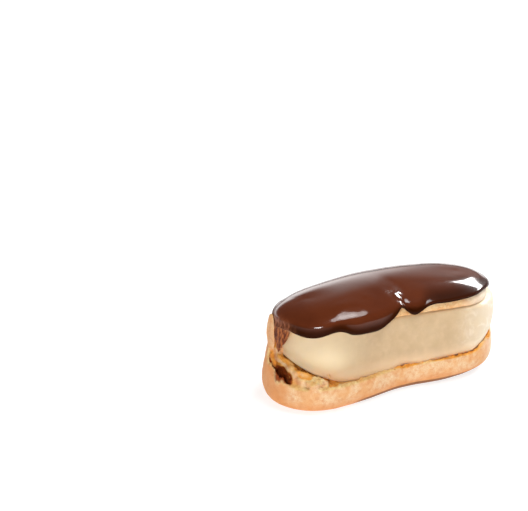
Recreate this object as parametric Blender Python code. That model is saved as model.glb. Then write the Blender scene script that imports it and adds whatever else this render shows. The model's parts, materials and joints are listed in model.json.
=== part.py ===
"""A chocolate eclair, cut open along its length and filled with a thick slab of custard cream.

It is four solids: the lower half of the choux bun, the cream, the upper half of the bun, and the
chocolate on top. +X runs along the eclair, -Y faces the side that was cut and wiped flush, and the
eclair rests on z = 0. Every solid is a stack of closed rings with the same number of points each.
Point i mirrors point -i across the X axis, so that the first and the last ring can be closed by a
strip of quads along the spine.
"""

import math

import bmesh
import bpy
from mathutils import Vector, noise

MM = 0.001

# Driving dimensions, in millimetres
LENGTH = 115.0
WIDTH = 46.0
HEIGHT = 47.9
GAP = 0.4

# Points round each ring
BASE_COLUMNS = 112
CREAM_COLUMNS = 80
LID_COLUMNS = 88
CHOCOLATE_COLUMNS = 112

# Lower half of the bun, which lies a little askew under the rest
BASE_TURN = math.radians(4.0)
BASE_FORWARD = 1.5
BASE_LEFT = 0.8
BASE_FOOT_IN = 5.2
BASE_RIGHT_FOOT_IN = 8.5
BASE_BULGE_Z = 7.8
BASE_ROUNDNESS = 2.2
BASE_LEAN = 3.0
BASE_LEAN_RISE = 20.0
RIM_ROUND = 0.8
RIM_UNEVEN = 0.4
RIM_Z = 12.4
RIM_END_Z = 19.2
RIM_TORN_Z = 32.4
FLOOR_Z = 9.6
BED_GAP = 1.0
WALL = 2.4
RIGHT_WALL = 1.3
WALL_FALL = 4.0

# Cream
CREAM_LEFT_X = -50.4
CREAM_RIGHT_X = 56.0
CREAM_HALF_WIDTH = 20.2
CREAM_LEFT_NARROW = 0.87
CREAM_LIFT_START_X = -23.0
CREAM_LIFT = 12.4
CREAM_SWELL = 0.75
CREAM_FOOT_IN = 2.0
CREAM_TOP_IN = 3.4
CREAM_SPINE = 4.0
CREAM_WALL_GAP = 1.4
UNDER_CREAM = 1.5
BED_CLEAR = 0.6

# Upper half of the bun
LID_LEFT_X = -50.6
LID_RIGHT_X = 52.6
LID_HALF_WIDTH = 19.4
LID_UNDER_Z = 36.6
LID_RIGHT_DROP = 2.2
LID_SIDE = 1.6
LID_DOME_POWER = 2.2
LID_TORN_Z = 24.6
LID_TORN_FLARE = 3.2
LID_HANG = 4.2
LID_SKIN = 1.7
LID_DOME_RINGS = 7
FIRST_TURN = 10.0

# Chocolate
CHOCOLATE_THICK = 1.7
CHOCOLATE_LOBE_THICK = 1.7
CHOCOLATE_STEP = 1.1
CHOCOLATE_STEP_X = 0.8
CHOCOLATE_STEP_HALF = 1.6
CHOCOLATE_LIP = 0.5
CHOCOLATE_THIN_EDGE = 0.25
CHOCOLATE_RINGS = 12
CHOCOLATE_EDGE_Z = 39.6
CHOCOLATE_LEFT_DROP = 3.2
CHOCOLATE_RIGHT_DROP = 2.4
RIDGE_FALL = 3.4


def smoothstep(low, high, value):
    """0 below low, 1 above high, and an S curve between."""
    share = min(1.0, max(0.0, (value - low) / (high - low)))
    return share * share * (3.0 - 2.0 * share)


def bump(value, centre, width):
    """A bell curve: 1 at centre, about a third one width away."""
    return math.exp(-(((value - centre) / width) ** 2))


class Plan:
    """The outline of one layer seen from above: a stadium whose sides may pull in or swell."""

    def __init__(self, left, right, half_width, side_scale, columns):
        self.centre = (left + right) / 2
        self.half_length = (right - left) / 2
        self.half_width = half_width
        self.straight = self.half_length - half_width
        self.side_scale = side_scale
        self.columns = columns
        self.points = [self._point(i) for i in range(columns)]

    def _point(self, i):
        """Point i, counted evenly round the stadium from its +X tip towards +Y."""
        side = 1.0 if i <= self.columns // 2 else -1.0
        i = min(i, self.columns - i)
        quarter = math.pi * self.half_width / 2
        along = (2 * quarter + 2 * self.straight) * i / (self.columns // 2)
        if along < quarter:
            turn = along / self.half_width
            x = self.straight + self.half_width * math.cos(turn)
            y = self.half_width * math.sin(turn)
        elif along < quarter + 2 * self.straight:
            x = self.straight - (along - quarter)
            y = self.half_width
        else:
            turn = math.pi / 2 + (along - quarter - 2 * self.straight) / self.half_width
            x = -self.straight + self.half_width * math.cos(turn)
            y = self.half_width * math.sin(turn)
        x += self.centre
        return x, side * y * self.side_scale(x, side)

    def inset(self, i, distance):
        """Point i moved in from the outline by a distance. At the half width it is on the spine."""
        x, y = self.points[i]
        share = distance / self.half_width
        keep = 1.0 - self.half_width / self.half_length
        x = self.centre + (x - self.centre) * (keep + (1.0 - keep) * (1.0 - share))
        return x, y * (1.0 - share)

    def ring(self, place):
        """One ring, whose point i is place(i)."""
        return [place(i) for i in range(self.columns)]

    def depth(self, x, y):
        """How far a place lies inside the outline, negative outside it."""
        side = 1.0 if y >= 0 else -1.0
        beyond = max(abs(x - self.centre) - self.straight, 0.0)
        return self.half_width - math.hypot(beyond, y / self.side_scale(x, side))


def base_side_scale(x, side):
    """The bun is pinched in the middle, more at the front."""
    if side < 0:
        return 1.0 - 0.15 * bump(x, 1.0, 17.0)
    return 1.0 - 0.09 * bump(x, -6.0, 18.0)


def cream_side_scale(x, side):
    """The cream is narrower at its left end and follows the pinch of the bun."""
    narrow = CREAM_LEFT_NARROW + (1.0 - CREAM_LEFT_NARROW) * smoothstep(-15.0, 32.0, x)
    if side < 0:
        return narrow - 0.035 * bump(x, 0.0, 15.0)
    taper = 0.1 * smoothstep(12.0, 46.0, x) + 0.34 * smoothstep(-4.0, -44.0, x)
    return narrow - 0.03 * bump(x, -4.0, 16.0) - taper


def lid_side_scale(x, side):
    """The lid is almost straight in front and tapers at the back of both ends."""
    if side < 0:
        return 1.0 - 0.03 * bump(x, 4.0, 14.0)
    taper = 0.17 * smoothstep(6.0, 50.0, x) + 0.34 * smoothstep(0.0, -48.0, x)
    return 1.0 - taper - 0.02 * bump(x, 4.0, 14.0)


BASE = Plan(-LENGTH / 2, LENGTH / 2, WIDTH / 2, base_side_scale, BASE_COLUMNS)
CREAM = Plan(CREAM_LEFT_X, CREAM_RIGHT_X, CREAM_HALF_WIDTH, cream_side_scale, CREAM_COLUMNS)
LID = Plan(LID_LEFT_X, LID_RIGHT_X, LID_HALF_WIDTH, lid_side_scale, LID_COLUMNS)
COAT = Plan(LID_LEFT_X, LID_RIGHT_X, LID_HALF_WIDTH, lid_side_scale, CHOCOLATE_COLUMNS)


def turn_round_end(plan, x, y, end):
    """Degrees round the left (-1) or right (+1) end: 0 at the front, 90 at the tip, 180 behind."""
    past = max(end * (x - plan.centre) - plan.straight, 0.0)
    if past == 0.0:
        return 0.0 if y < 0 else 180.0
    return math.degrees(math.atan2(past, -y))


def to_base_axes(x, y):
    """A place seen from the askew lower half."""
    x += BASE_LEFT
    y += BASE_FORWARD
    cos, sin = math.cos(BASE_TURN), math.sin(BASE_TURN)
    return x * cos + y * sin, y * cos - x * sin


def from_base_axes(point):
    """A point of the lower half, put askew under the rest."""
    x, y, z = point
    cos, sin = math.cos(BASE_TURN), math.sin(BASE_TURN)
    return x * cos - y * sin - BASE_LEFT, x * sin + y * cos - BASE_FORWARD, z


def rim_height(x, y):
    """The height of the cut edge of the lower half, which sweeps up at both ends."""
    side = RIM_Z + RIM_UNEVEN * noise.noise(Vector((x / 9.0, y / 9.0, 3.0)))
    right = turn_round_end(BASE, x, y, 1)
    right = min(right, 180.0 - right)
    height = side + (RIM_END_Z - side) * smoothstep(2.0, 62.0, right)
    left = turn_round_end(BASE, x, y, -1)
    height += (RIM_END_Z - side) * smoothstep(46.0, 88.0, left)
    height += (RIM_TORN_Z - RIM_END_Z) * smoothstep(104.0, 115.0, left)
    height -= (RIM_TORN_Z - side) * smoothstep(124.0, 158.0, left)
    return height


def cream_lift(x):
    """How far the underside of the cream rises off the floor of the hollow at its left end."""
    share = (CREAM_LIFT_START_X - x) / (CREAM_LIFT_START_X - CREAM_LEFT_X)
    return CREAM_LIFT * min(1.2, max(0.0, share)) ** 2


def wall_thickness(x):
    """The skin left standing round the cut face is thin at the right end."""
    return WALL + (RIGHT_WALL - WALL) * smoothstep(30.0, 50.0, x)


def hollow_height(x, y, inward=0.0):
    """The upper face of the lower half: a rim round a shallow hollow, before it is torn.

    The wall of the hollow can be taken a little further inward, for what lies in it.
    """
    wall = wall_thickness(x) + inward
    rim = rim_height(x, y)
    depth = BASE.depth(x, y)
    bed = max(0.0, cream_lift(x - BASE_LEFT) - BED_GAP) * smoothstep(2.0, 9.0, depth)
    inside = smoothstep(wall, wall + WALL_FALL, depth)
    return rim + (FLOOR_Z + bed - rim) * inside


# What is torn out of the crumb at the left end: x, y, reach, and height (negative is a pit)
CRUMB_RELIEF = (
    (-51.8, -1.8, 3.0, -4.6),
    (-49.4, -6.6, 2.4, 2.0),
    (-48.6, 0.4, 2.4, 4.6),
    (-46.2, -5.8, 2.4, -2.0),
    (-45.2, -11.6, 2.2, 3.0),
    (-39.2, -13.0, 4.4, 2.4),
    (-31.4, -15.4, 2.4, -1.8),
    (-50.2, 7.0, 3.2, 2.4),
)
CRUMB_SIZE = 3.4
CRUMB_ROUGH = 0.9


def crumb_relief(x, y):
    """Lumps and pits of the torn crumb, only where the cream leaves it bare."""
    bare = smoothstep(-24.0, -31.0, x) * smoothstep(1.4, 3.2, BASE.depth(x, y))
    lumps = sum(
        height * math.exp(-((x - cx) ** 2 + (y - cy) ** 2) / reach**2)
        for cx, cy, reach, height in CRUMB_RELIEF
    )
    fine = CRUMB_ROUGH * noise.noise(Vector((x / CRUMB_SIZE, y / CRUMB_SIZE, 7.0)))
    return bare * (lumps + fine)


def base_rings():
    """From the flat foot up the outside, over the rim and across the hollow, in its own axes."""
    rings = [BASE.ring(lambda i, k=k: base_foot_point(i, k / 4)) for k in range(5)]
    for share in (0.45, 0.85):
        rings.append(BASE.ring(lambda i: base_wall_point(i, share)))
    rings.append(BASE.ring(lambda i: base_rim_point(i, RIM_ROUND * 0.2, RIM_ROUND * 0.6)))
    rings.append(BASE.ring(lambda i: base_rim_point(i, RIM_ROUND, 0.0)))
    for inset in (0.0, 1.2, 2.4, 3.8, 5.6, 8.5, 12.5, 16.0):
        rings.append(BASE.ring(lambda i: base_hollow_point(i, inset)))
    return rings


def base_foot_point(i, share):
    """A point of the rounded foot, from the floor (0) to the bulge (1)."""
    turn = math.radians(90.0 * share)
    end = smoothstep(22.0, 46.0, BASE.points[i][0])
    foot_in = BASE_FOOT_IN + (BASE_RIGHT_FOOT_IN - BASE_FOOT_IN) * end
    inset = foot_in * (1.0 - math.sin(turn) ** (2 / BASE_ROUNDNESS))
    z = BASE_BULGE_Z * (1.0 - max(0.0, math.cos(turn)) ** (2 / BASE_ROUNDNESS))
    return (*BASE.inset(i, inset), z)


def askew(rings):
    """The rings of the lower half, put in place under the rest."""
    return [[from_base_axes(point) for point in ring] for ring in rings]


def lean_in(z):
    """How far the outer wall leans in at a height above its bulge."""
    above = max(0.0, z - BASE_BULGE_Z) / BASE_LEAN_RISE
    return BASE_LEAN * above**1.5


def base_wall_point(i, share):
    """A point of the outer wall, part of the way from the bulge to the rim."""
    rim = rim_height(*BASE.points[i]) - RIM_ROUND
    z = BASE_BULGE_Z + (rim - BASE_BULGE_Z) * share
    return (*BASE.inset(i, lean_in(z)), z)


def base_rim_point(i, inset, below):
    """A point of the rounded rim."""
    rim = rim_height(*BASE.points[i])
    return (*BASE.inset(i, lean_in(rim) + inset), rim - below)


def base_hollow_point(i, inset):
    """A point of the cut face or the hollow, an inset further in than the outer skin of the wall."""
    rim = rim_height(*BASE.points[i])
    x, y = BASE.inset(i, lean_in(rim) + wall_thickness(BASE.points[i][0]) + inset)
    z = hollow_height(x, y) + crumb_relief(x, y)
    place = from_base_axes((x, y, z))[:2]
    if CREAM.depth(*place) > -UNDER_CREAM:
        z = min(z, cream_under_height(*place) - BED_CLEAR)
    return x, y, z


def lid_under_height(x):
    """The flat underside of the lid, which falls a little towards the right end."""
    return LID_UNDER_Z - LID_RIGHT_DROP * smoothstep(6.0, 62.0, x)


def cream_rings():
    """From the middle of the underside, out, up the face and in over the top."""
    rings = []
    for inset in (CREAM_HALF_WIDTH - CREAM_SPINE, 9.0, 5.0, 3.0, 1.6):
        rings.append(CREAM.ring(lambda i: cream_under_point(i, inset)))
    for share in (0.05, 0.25, 0.5, 0.75, 0.95):
        rings.append(CREAM.ring(lambda i: cream_face_point(i, share)))
    for inset in (1.2, CREAM_HALF_WIDTH - CREAM_SPINE):
        rings.append(CREAM.ring(lambda i: cream_top_point(i, inset)))
    return rings


def cream_under_height(x, y):
    """The underside lies in the hollow and rounds up off it at the left end."""
    hollow = hollow_height(*to_base_axes(x, y), CREAM_WALL_GAP)
    return max(hollow, FLOOR_Z + cream_lift(x)) + GAP


def cream_under_point(i, inset):
    x, y = CREAM.inset(i, inset)
    return x, y, cream_under_height(x, y)


def cream_round_end(x):
    """How rounded the cream is at its left end: 0 along the slab, 1 at the end."""
    return smoothstep(-25.0, -46.0, x)


def cream_face_point(i, share):
    """A point of the wiped face, which swells a little and is rounder at the left end."""
    x, y = CREAM.inset(i, 1.0)
    bottom = cream_under_height(x, y)
    top = lid_under_height(x) - GAP
    swell = math.sin(math.pi * share)
    inset = CREAM_SWELL * (1.0 - swell)
    inset += cream_round_end(x) * (CREAM_FOOT_IN * (1.0 - share) ** 2 + CREAM_TOP_IN * share**3)
    x, y = CREAM.inset(i, inset)
    z = bottom + (top - bottom) * share
    return x, y, max(z, cream_under_height(x, y))


def cream_top_point(i, inset):
    """A point of the flat top, which starts further in at the left, inside the torn flap."""
    inward = CREAM_TOP_IN * cream_round_end(CREAM.points[i][0])
    x, y = CREAM.inset(i, min(CREAM_HALF_WIDTH - CREAM_SPINE, inset + inward))
    return x, y, lid_under_height(x) - GAP


def torn_share(i):
    """How far the torn flap of the lid hangs down at column i: 0 away from it, 1 at its tip."""
    left = turn_round_end(LID, *LID.points[i], -1)
    return smoothstep(58.0, 78.0, left) * (1.0 - smoothstep(82.0, 100.0, left))


def ridge_height(x):
    """The top of the lid along its spine, highest left of the middle."""
    return HEIGHT - CHOCOLATE_THICK - GAP - RIDGE_FALL * ((x + 1.0) / 34.0) ** 2


def dome_point(plan, i, turn, offset, drop=0.0):
    """A point of the lid's dome or of a dome an offset outside it.

    The turn is 0 at the spine and 90 at the side, and drop goes on down the side.
    """
    x, _ = plan.points[i]
    foot = lid_under_height(x) + LID_SIDE
    spine_x, _ = plan.inset(i, plan.half_width)
    rise = ridge_height(spine_x) - foot + offset
    turn = math.radians(turn)
    inset = plan.half_width - (plan.half_width + offset) * math.sin(turn) ** (2 / LID_DOME_POWER)
    fall = max(0.0, math.cos(turn)) ** (2 / LID_DOME_POWER)
    return (*plan.inset(i, inset), foot + rise * fall - drop)


def lid_rings():
    """From the ridge, down over the dome and its side, round the edge and in below."""
    rings = []
    for k in range(LID_DOME_RINGS):
        turn = FIRST_TURN + (90.0 - FIRST_TURN) * k / (LID_DOME_RINGS - 1)
        rings.append(LID.ring(lambda i: dome_point(LID, i, turn, 0.0)))
    rings.append(LID.ring(lid_hang_point))
    rings.append(LID.ring(lambda i: lid_edge_point(i, 0.0, 0.5)))
    rings.append(LID.ring(lambda i: lid_edge_point(i, 0.4, 0.0)))
    rings.append(LID.ring(lambda i: lid_edge_point(i, LID_SKIN, 0.0)))
    for inset in (LID_SKIN + 1.0, LID_HALF_WIDTH - 4.0):
        rings.append(LID.ring(lambda i: lid_under_point(i, inset)))
    return rings


def lid_hang_point(i):
    """A point of the side, from which the torn flap starts to flare out."""
    x, _ = LID.points[i]
    return (*LID.inset(i, 0.0), lid_under_height(x) + 0.6 - LID_HANG * torn_share(i))


def lid_edge_point(i, inset, above):
    """A point of the cut or torn edge of the lid."""
    flap = torn_share(i)
    edge = lid_under_height(LID.points[i][0]) - flap * (LID_UNDER_Z - LID_TORN_Z)
    return (*LID.inset(i, inset - LID_TORN_FLARE * flap**2), edge + above)


def lid_under_point(i, inset):
    x, y = LID.inset(i, inset)
    return x, y, lid_under_height(x)


# Where the chocolate has run down: x, width, how far below the general edge, front side only
FRONT_RUNS = (
    (-42.0, 11.0, 5.2),
    (-20.5, 6.4, 5.0),
    (-11.0, 6.0, 4.8),
    (0.4, 2.4, -2.4),
    (7.2, 3.8, 2.8),
    (17.0, 5.0, -0.5),
)
BACK_RUNS = (
    (-34.0, 8.0, 2.2),
    (-14.0, 7.0, -0.8),
    (9.0, 6.0, 2.8),
    (30.0, 9.0, 1.2),
)


def chocolate_edge_height(x, y):
    """The lower edge of the chocolate, with its runs, lower round both ends."""
    runs = FRONT_RUNS if y < 0 else BACK_RUNS
    edge = CHOCOLATE_EDGE_Z - sum(reach * bump(x, cx, width) for cx, width, reach in runs)
    left = turn_round_end(COAT, x, y, -1)
    right = turn_round_end(COAT, x, y, 1)
    edge -= CHOCOLATE_LEFT_DROP * smoothstep(60.0, 90.0, min(left, 180.0 - left))
    edge -= CHOCOLATE_RIGHT_DROP * smoothstep(30.0, 90.0, min(right, 180.0 - right))
    return edge


def chocolate_extra(x, y):
    """Thickness added to the coat: the wide puddle at the front left and the step where it ends."""
    lobe = CHOCOLATE_LOBE_THICK * bump(x, -15.0, 12.0) * bump(y, -21.0, 8.0)
    left = CHOCOLATE_STEP_X - x
    step = CHOCOLATE_STEP * smoothstep(-CHOCOLATE_STEP_HALF, CHOCOLATE_STEP_HALF, left)
    step *= smoothstep(-52.0, -20.0, x) * smoothstep(2.0, -12.0, y)
    return lobe + step


def chocolate_point(i, share, outside):
    """A point of the coat, a share of the way from the ridge to its edge, outside or inside."""
    x, y = COAT.points[i]
    foot = lid_under_height(x) + LID_SIDE
    spine_x, _ = COAT.inset(i, COAT.half_width)
    rise = ridge_height(spine_x) - foot
    above = max(0.0, chocolate_edge_height(x, y) - foot)
    below = max(0.0, foot - chocolate_edge_height(x, y))
    last = math.degrees(math.acos(min(1.0, above / rise) ** (LID_DOME_POWER / 2)))
    arc = (COAT.half_width + rise * 0.4) * last / 90.0
    along = share * (arc + below)
    turn = FIRST_TURN + (last - FIRST_TURN) * min(1.0, along / arc)
    offset = GAP
    if outside:
        place = dome_point(COAT, i, turn, GAP)
        thin = 1.0 - CHOCOLATE_THIN_EDGE * smoothstep(0.7, 1.0, share)
        offset += CHOCOLATE_THICK * thin + chocolate_extra(place[0], place[1])
    return Vector(dome_point(COAT, i, turn, offset, max(0.0, along - arc)))


def chocolate_rings():
    """From the ridge down the outside, round the lip, and back up the inside."""
    rings = []
    for k in range(CHOCOLATE_RINGS):
        share = (k / (CHOCOLATE_RINGS - 1)) ** 0.85 * 0.97
        rings.append(COAT.ring(lambda i: chocolate_point(i, share, True)))
    rings.append(COAT.ring(lip_point))
    for share in (0.98, 0.85, 0.7, 0.53, 0.36, 0.18, 0.0):
        rings.append(COAT.ring(lambda i: chocolate_point(i, share, False)))
    return rings


def lip_point(i):
    """The lowest point of the rolled lip of the coat."""
    outer = chocolate_point(i, 0.98, True)
    inner = chocolate_point(i, 1.0, False)
    return outer.lerp(inner, 0.35) - Vector((0.0, 0.0, CHOCOLATE_LIP))


def close_strip(mesh, ring, flip):
    """Closes a ring with quads between its mirrored halves."""
    columns = len(ring)
    for i in range(columns // 2):
        corners = [ring[i], ring[i + 1], ring[columns - i - 1], ring[-i % columns]]
        corners = list(dict.fromkeys(corners))
        mesh.faces.new(reversed(corners) if flip else corners)


def skin(name, rings, material):
    """One closed body from a stack of rings."""
    mesh = bmesh.new()
    stacked = [[mesh.verts.new(Vector(p) * MM) for p in ring] for ring in rings]
    for lower, upper in zip(stacked, stacked[1:]):
        for i in range(len(lower)):
            j = (i + 1) % len(lower)
            mesh.faces.new((lower[i], lower[j], upper[j], upper[i]))
    close_strip(mesh, stacked[0], True)
    close_strip(mesh, stacked[-1], False)
    bmesh.ops.recalc_face_normals(mesh, faces=mesh.faces)
    data = bpy.data.meshes.new(name)
    mesh.to_mesh(data)
    mesh.free()
    data.materials.append(material)
    data.shade_smooth()
    data.set_sharp_from_angle(angle=math.radians(50))
    body = bpy.data.objects.new(name, data)
    bpy.context.scene.collection.objects.link(body)
    return body


def finish_of(name, colour, roughness):
    """A plain material with a colour and a roughness."""
    material = bpy.data.materials.new(name)
    material.use_nodes = True
    shader = material.node_tree.nodes["Principled BSDF"]
    shader.inputs["Base Color"].default_value = (*colour, 1.0)
    shader.inputs["Roughness"].default_value = roughness
    shader.inputs["Metallic"].default_value = 0.0
    return material


def centre_on_origin(bodies):
    """Moves the meshes so that the whole stands on z = 0 with its box centred on the Z axis."""
    corners = [v.co for body in bodies for v in body.data.vertices]
    low = [min(c[axis] for c in corners) for axis in range(3)]
    high = [max(c[axis] for c in corners) for axis in range(3)]
    shift = Vector((-(low[0] + high[0]) / 2, -(low[1] + high[1]) / 2, -low[2]))
    for body in bodies:
        for vertex in body.data.vertices:
            vertex.co += shift


def main():
    for old in list(bpy.data.objects):
        bpy.data.objects.remove(old, do_unlink=True)
    crust = finish_of("choux_crust", (0.78, 0.47, 0.22), 0.6)
    custard = finish_of("custard", (0.83, 0.66, 0.39), 0.45)
    chocolate = finish_of("chocolate", (0.09, 0.027, 0.012), 0.12)
    bodies = [
        skin("choux_base", askew(base_rings()), crust),
        skin("cream_filling", cream_rings(), custard),
        skin("choux_lid", lid_rings(), crust),
        skin("chocolate_glaze", chocolate_rings(), chocolate),
    ]
    centre_on_origin(bodies)


main()
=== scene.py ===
"""Looks of a chocolate eclair: the cut choux base, the slab of custard cream,
the torn lid and the poured chocolate coat, on a pale floor."""

import json
import math

import bmesh
import bpy
import numpy as np
from mathutils import Matrix, Vector, noise
from mathutils.bvhtree import BVHTree

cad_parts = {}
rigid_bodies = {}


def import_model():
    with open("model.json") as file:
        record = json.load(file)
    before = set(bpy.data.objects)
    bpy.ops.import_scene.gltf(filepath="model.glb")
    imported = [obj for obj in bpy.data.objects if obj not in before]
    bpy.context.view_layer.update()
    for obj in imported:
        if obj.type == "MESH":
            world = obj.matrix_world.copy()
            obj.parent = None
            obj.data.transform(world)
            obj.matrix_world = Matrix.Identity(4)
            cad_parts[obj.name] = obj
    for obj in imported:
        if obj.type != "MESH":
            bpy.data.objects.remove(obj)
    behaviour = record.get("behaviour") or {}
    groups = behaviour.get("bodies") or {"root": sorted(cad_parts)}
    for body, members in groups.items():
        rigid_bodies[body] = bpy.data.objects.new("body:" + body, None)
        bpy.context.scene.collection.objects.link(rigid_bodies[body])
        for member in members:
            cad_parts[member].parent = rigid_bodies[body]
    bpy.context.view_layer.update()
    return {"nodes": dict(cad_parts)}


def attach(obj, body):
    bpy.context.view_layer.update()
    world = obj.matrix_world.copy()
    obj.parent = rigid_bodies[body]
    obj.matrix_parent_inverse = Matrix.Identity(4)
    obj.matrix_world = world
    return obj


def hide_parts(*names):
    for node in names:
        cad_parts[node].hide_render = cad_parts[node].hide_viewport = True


for old in list(bpy.data.objects):
    bpy.data.objects.remove(old)
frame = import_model()

MM = 0.001

# Camera: its place in metres, the way it looks, and its lens and sensor width in mm
CAMERA_PLACE = (-0.3623, -0.6814, 0.4113)
CAMERA_WAY = (0.3717, 0.8303, -0.4152)
CAMERA_LENS = 129.55
CAMERA_SENSOR = 36

# Choux base, in mm: its voxel, half the length of its middle line, and its turn in degrees
BASE_VOXEL = 0.46
BASE_HALF_LINE = 37
BASE_TURN = 4.0

# Relief of the baked crust and of the open crumb: size and height, in mm
CRUST_LUMP = (9.0, 0.34)
CRUST_DENT = (3.2, 0.12)
CRUST_GRAIN = (1.1, 0.045)
CRUMB_LUMP = (2.0, 0.75)
CRUMB_GRAIN = (0.9, 0.4)
CRUMB_PIT = (2.6, 0.35)
TORN_LUMP = (2.6, 0.4)
TORN_GRAIN = (1.1, 0.4)

# Where the base's finish changes, in mm: lower crumb edge, torn stretch, and pale right end, which is
# painted light
CRUMB_INSIDE = (6.5, 8.0)
CRUMB_TOP = (9, 10.5)
TORN_FROM = (-27, -34)
LIT_CRUST_END = (42, 55)

# Toasted foot of the base, in mm: heights of its dark line, which is painted contact shadow, the stretch
# where it is painted dark, heights of its lighter toasting, and the left tip
FOOT_SHADOW_HEIGHT = (4.3, 2.2)
FOOT_SHADOW_FROM = (-36, -12)
TOAST_LIGHT = (9, 1)
TOAST_TIP = (-50, -56)

# Torn crumb at the left end: place and half sizes of each shred, in mm
TORN_FACE = (
    ((-51.0, -0.6, 19.0), (1.0, 3.2, 2.6)),
    ((-50.2, 2.2, 21.4), (1.4, 3.0, 3.0)),
    ((-48.3, 2.6, 22.4), (2.2, 2.4, 3.0)),
    ((-49.6, -3.2, 18.2), (1.2, 2.6, 1.8)),
)
TORN_RIDGE = (
    ((-47.2, -4.8, 18.2), (1.5, 2.6, 1.5)),
    ((-47.8, -8.4, 17.6), (1.2, 2.6, 1.7)),
    ((-47.6, -11.6, 16.6), (1.3, 2.4, 1.8)),
    ((-46.8, -14.8, 14.8), (1.5, 1.8, 1.5)),
)

# Thin strip of crust that still stands beside the torn flap: place and half sizes, in mm
HINGE_STRIP = (
    ((-52.5, 3.8, 28.6), (0.8, 4.6, 6.4)),
    ((-52.0, 4.4, 32.6), (0.75, 3.8, 5.4)),
    ((-51.3, 5.0, 35.4), (0.7, 3.4, 3.8)),
)

# Heap of loose crumbs: its place, half sizes and count, and the crumbs' least and greatest size, in mm
CRUMB_HEAP = ((-41.6, -17.8, 14.0), (5.4, 3.0, 1.0), 90)
CRUMB_SIZES = (0.6, 1.45)

# Hollows torn out of the crumb: voxel, unevenness of their walls, and place and half sizes, in mm
HOLLOW_VOXEL = 0.4
HOLLOW_WALL = (1.5, 0.6)
DARK_POCKET = (
    ((-53.4, -5.0, 14.8), (1.9, 2.8, 4.6)),
    ((-52.8, -8.4, 14.0), (2.5, 3.4, 5.2)),
    ((-51.6, -11.6, 13.4), (2.2, 2.6, 4.4)),
    ((-51.0, -4.6, 12.0), (2.6, 5.2, 4.4)),
    ((-54.0, -1.2, 18.4), (0.6, 2.0, 2.6)),
)
RECESS = (
    ((-43.9, -11.6, 15.4), (2.0, 3.6, 3.4)),
    ((-42.6, -8.6, 14.0), (2.3, 3.8, 3.6)),
    ((-41.4, -12.4, 13.8), (1.8, 2.8, 2.2)),
)
NOTCH = (
    ((-32.8, -17.8, 12.0), (1.5, 3.6, 2.4)),
    ((-34.8, -15.4, 12.6), (2.4, 2.0, 1.6)),
    ((-30.6, -14.6, 10.8), (2.4, 2.6, 1.8)),
)

# Gaps between the cream and the rim on the right, in mm
RIM_GAP = (
    ((49.4, -12.0, 16.6), (2.0, 3.6, 1.8)),
    ((35.0, -19.3, 15.0), (9.0, 1.4, 2.2)),
    ((26.0, -19.1, 14.0), (8.0, 1.3, 1.9)),
    ((6.0, -18.0, 13.0), (6.0, 1.1, 1.3)),
)
HOLLOWS = DARK_POCKET + RECESS + NOTCH + RIM_GAP

# Crumb soaked to amber: place and half sizes in mm, and how deep its colour is
AMBER_PLACES = (
    ((-50.2, -4.0, 18.0), (3.2, 5.5, 5.0), 0.9),
    ((-49.2, -3.6, 19.6), (4.4, 6.0, 5.0), 0.8),
    ((-49.8, -9.6, 15.4), (1.8, 5.6, 4.0), 1.0),
    ((55.5, -3.0, 13.0), (3.6, 9.0, 6.0), 0.8),
)
AMBER_ALONG_CREAM = (
    ((5.0, -17.0, 12.0), (7.0, 2.6, 4.0)),
    ((34.0, -17.6, 12.5), (16.0, 2.6, 4.0)),
)

# Amber round the lumps and hollows: how far it reaches, where it starts and is full, and how deep it is
AMBER_ROUND = (
    (TORN_FACE, 2.3, (0.1, 0.7), 1.0),
    (RECESS, 1.8, (0.1, 0.4), 1.0),
    (NOTCH, 1.7, (0.2, 0.6), 0.9),
    (RIM_GAP, 1.5, (0.25, 0.65), 1.0),
)

# Painted shade in the recess: place and half sizes, in mm, and its depth, which the painted shade in the
# gaps at the rim shares
RECESS_PAINTED_SHADE = ((-41.8, -10.4, 14.0), (5.2, 4.8, 4.4))
PAINTED_SHADE_DEPTH = 0.12

# Chocolate coat, in mm: its outline of two straights and two round ends
COAT_STRAIGHT = 33.0
COAT_END_RADIUS = 20.0
COAT_EDGE_SLOTS = 150

# Where the coat's form and finish change, in mm: its outer skin, its top, its front, and the thin left end
COAT_OUTER = (34, 36)
COAT_TOP = (37, 39)
FRONT_FROM = (-9.0, -17.0)
RIDGE_FROM = (-9, -16)
THIN_FROM = (-46.5, -50.5)
THIN_BELOW = (42, 38)

# Painted shade on the coat's dark lower edge, in mm: its height, and its height and stretch on the right
SHADE_EDGE = (9.0, 1.0)
SHADE_RIGHT = (7.0, 2.5)
SHADE_RIGHT_FROM = (-4, 24)
SHADE_FRONT_FROM = (0, -8)

# Swollen front of the left flow, its lip and its ridge: heights and lengths, in mm
FRONT_LIFT = 0.45
FRONT_ROLL = 3.0
FRONT_FADE = 7
FRONT_GROOVE = (-0.9, 1.3, 0.3)
LIP_ROLL = 0.35
LIP_CREST = (1.5, 0.9)
LIP_GROOVE = (3.4, 1.2)
LOBE_RIDGE = (-24.0, 7.0, 0.7)

# Line where the left flow of chocolate stopped, from the front to the back, in mm
FLOW_LINE_Y = (-21.0, -18.3, -15.8, -10.9, -4.3, 2.0)
FLOW_LINE_X = (1.2, 2.4, 2.6, 0.6, -1.6, -4.0)

# Crease between the two flows, which is drawn smooth, and its dull crest: place and half sizes, in mm
CREASE = ((1.5, -8.0, 46.5), (5.0, 9.0, 5.0))
CREASE_CREST = ((0.8, -9.8, 47.0), (2.6, 2.8, 2.6))
TOP_ROUNDS = 30
CREASE_ROUNDS = 90

# Small swells and hollows of the coat: place, half sizes and height, in mm
COAT_SWELLS = (
    ((-23.5, -18.8, 43.4), (6.0, 3.6, 4.5), -0.3),
    ((1.5, -13.8, 45.7), (2.4, 2.4, 2.4), 0.38),
    ((-12.0, -11.5, 46.8), (2.6, 2.2, 3.0), 0.1),
)

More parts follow.
